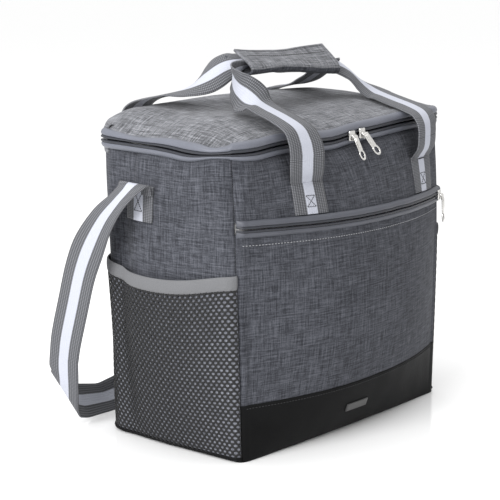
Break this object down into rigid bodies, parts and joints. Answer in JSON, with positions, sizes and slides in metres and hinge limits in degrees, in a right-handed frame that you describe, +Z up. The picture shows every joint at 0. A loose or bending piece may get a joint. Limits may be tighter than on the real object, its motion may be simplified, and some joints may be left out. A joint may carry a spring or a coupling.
{
  "type": "insulated cooler bag",
  "caption": "Soft insulated cooler bag with a zipped padded lid, a zipped front pocket, mesh side pockets, carrying handles joined by a wrapped grip, and a shoulder strap.",
  "frame": {"origin": "centre of the base, on the floor", "axes": "+Z up, +X to the right along the front, the front with the zipped pocket faces -Y"},
  "size_m": [0.3814, 0.277, 0.3705],
  "materials": {
    "heather_fabric": "two-tone woven polyester",
    "foam": "closed-cell foam",
    "liner_film": "aluminised film",
    "board": "stiff sheet",
    "black_leatherette": "smooth satin",
    "zip_tape": "water-repellent tape",
    "webbing": "ribbed webbing with a pale stripe",
    "mesh": "knitted mesh over dark cloth",
    "elastic": "ribbed elastic",
    "badge": "satin",
    "hook_and_loop": "pile",
    "black_plastic": "moulded",
    "nickel": "polished nickel"
  },
  "bodies": {
    "bag": {"front_panel": "heather_fabric", "right_side_panel": "heather_fabric", "back_panel": "heather_fabric", "left_side_panel": "heather_fabric", "front_foam": "foam", "right_foam": "foam", "back_foam": "foam", "left_foam": "foam", "bottom_panel": "black_leatherette", "inner_liner": "liner_film", "base_board": "board", "floor_foam": "foam", "base_band": "black_leatherette", "front_pocket_panel": "heather_fabric", "main_zip_lower_tape": "zip_tape", "pocket_zip_lower_tape": "zip_tape", "pocket_zip_upper_tape": "zip_tape", "hinge_gusset_lower": "heather_fabric", "front_webbing_ends": "webbing", "back_webbing_ends": "webbing", "left_mesh_pocket": "mesh", "left_pocket_binding": "elastic", "right_mesh_pocket": "mesh", "right_pocket_binding": "elastic", "left_strap_anchor": "webbing", "right_strap_anchor": "webbing", "front_badge": "badge"},
    "lid": {"lid_panel": "heather_fabric", "lid_foam": "foam", "lid_liner": "liner_film", "main_zip_upper_tape": "zip_tape", "hinge_gusset_upper": "heather_fabric"},
    "front_legs": {"front_webbing_legs": "webbing"},
    "front_handle": {"front_webbing_top": "webbing", "grip_wrap": "heather_fabric", "grip_loop_patch": "hook_and_loop"},
    "grip_flap": {"grip_flap": "heather_fabric", "grip_hook_patch": "hook_and_loop"},
    "back_legs": {"back_webbing_legs": "webbing"},
    "back_handle": {"back_webbing_top": "webbing"},
    "slider_left": {"main_slider_left": "nickel"},
    "pull_left": {"main_pull_left": "nickel"},
    "slider_right": {"main_slider_right": "nickel"},
    "pull_right": {"main_pull_right": "nickel"},
    "pocket_slider": {"pocket_slider": "nickel"},
    "pocket_pull": {"pocket_pull": "nickel"},
    "shoulder_strap": {"shoulder_webbing": "webbing"},
    "adjuster": {"strap_adjuster": "black_plastic"}
  },
  "joints": [
    {"name": "lid_hinge", "type": "hinge", "parent": "bag", "child": "lid", "pos_m": [0, 0.0895, 0.293], "axis": [-1, 0, 0], "range_deg": [0, 95]},
    {"name": "front_leg_fold", "type": "hinge", "parent": "bag", "child": "front_legs", "pos_m": [0, -0.112, 0.2535], "axis": [1, 0, 0], "range_deg": [0, 150.5]},
    {"name": "front_handle_fold", "type": "hinge", "parent": "front_legs", "child": "front_handle", "pos_m": [0, -0.112, 0.31], "axis": [1, 0, 0], "range_deg": [0, 75.5]},
    {"name": "grip_flap_fold", "type": "hinge", "parent": "front_handle", "child": "grip_flap", "pos_m": [0, -0.028, 0.3692], "axis": [1, 0, 0], "range_deg": [0, 85]},
    {"name": "back_leg_fold", "type": "hinge", "parent": "bag", "child": "back_legs", "pos_m": [0, 0.112, 0.2535], "axis": [-1, 0, 0], "range_deg": [0, 150.5]},
    {"name": "back_handle_fold", "type": "hinge", "parent": "back_legs", "child": "back_handle", "pos_m": [0, 0.112, 0.31], "axis": [-1, 0, 0], "range_deg": [0, 75.5]},
    {"name": "left_slider_run", "type": "slide", "parent": "bag", "child": "slider_left", "axis": [-1, 0, 0], "range_m": [0, 0.125]},
    {"name": "left_pull_swing", "type": "hinge", "parent": "slider_left", "child": "pull_left", "pos_m": [0.005, -0.0932, 0.2955], "axis": [-1, 0, 0], "range_deg": [0, 150]},
    {"name": "right_slider_run", "type": "slide", "parent": "bag", "child": "slider_right", "axis": [1, 0, 0], "range_m": [0, 0.105]},
    {"name": "right_pull_swing", "type": "hinge", "parent": "slider_right", "child": "pull_right", "pos_m": [0.021, -0.0932, 0.2955], "axis": [-1, 0, 0], "range_deg": [0, 150]},
    {"name": "shoulder_strap_swing", "type": "hinge", "parent": "bag", "child": "shoulder_strap", "pos_m": [0, 0.031, 0.25], "axis": [1, 0, 0], "range_deg": [0, 155]},
    {"name": "adjuster_run", "type": "slide", "parent": "shoulder_strap", "child": "adjuster", "axis": [-1, 0, 0], "range_m": [0, 0.15]},
    {"name": "pocket_slider_run", "type": "hinge", "parent": "bag", "child": "pocket_slider", "pos_m": [0, 0.22132, 0.219], "axis": [0, 0, -1], "range_deg": [0, 45]},
    {"name": "pocket_pull_swing", "type": "hinge", "parent": "pocket_slider", "child": "pocket_pull", "pos_m": [0.13562, -0.09818, 0.2215], "axis": [-0.9205, -0.3907, 0], "range_deg": [0, 150]}
  ],
  "couplings": [
    {"joint": "front_leg_fold", "follows": "lid_hinge", "ratio": 1.5789},
    {"joint": "front_handle_fold", "follows": "lid_hinge", "ratio": 0.78947},
    {"joint": "back_leg_fold", "follows": "lid_hinge", "ratio": 1.5789},
    {"joint": "back_handle_fold", "follows": "lid_hinge", "ratio": 0.78947}
  ]
}
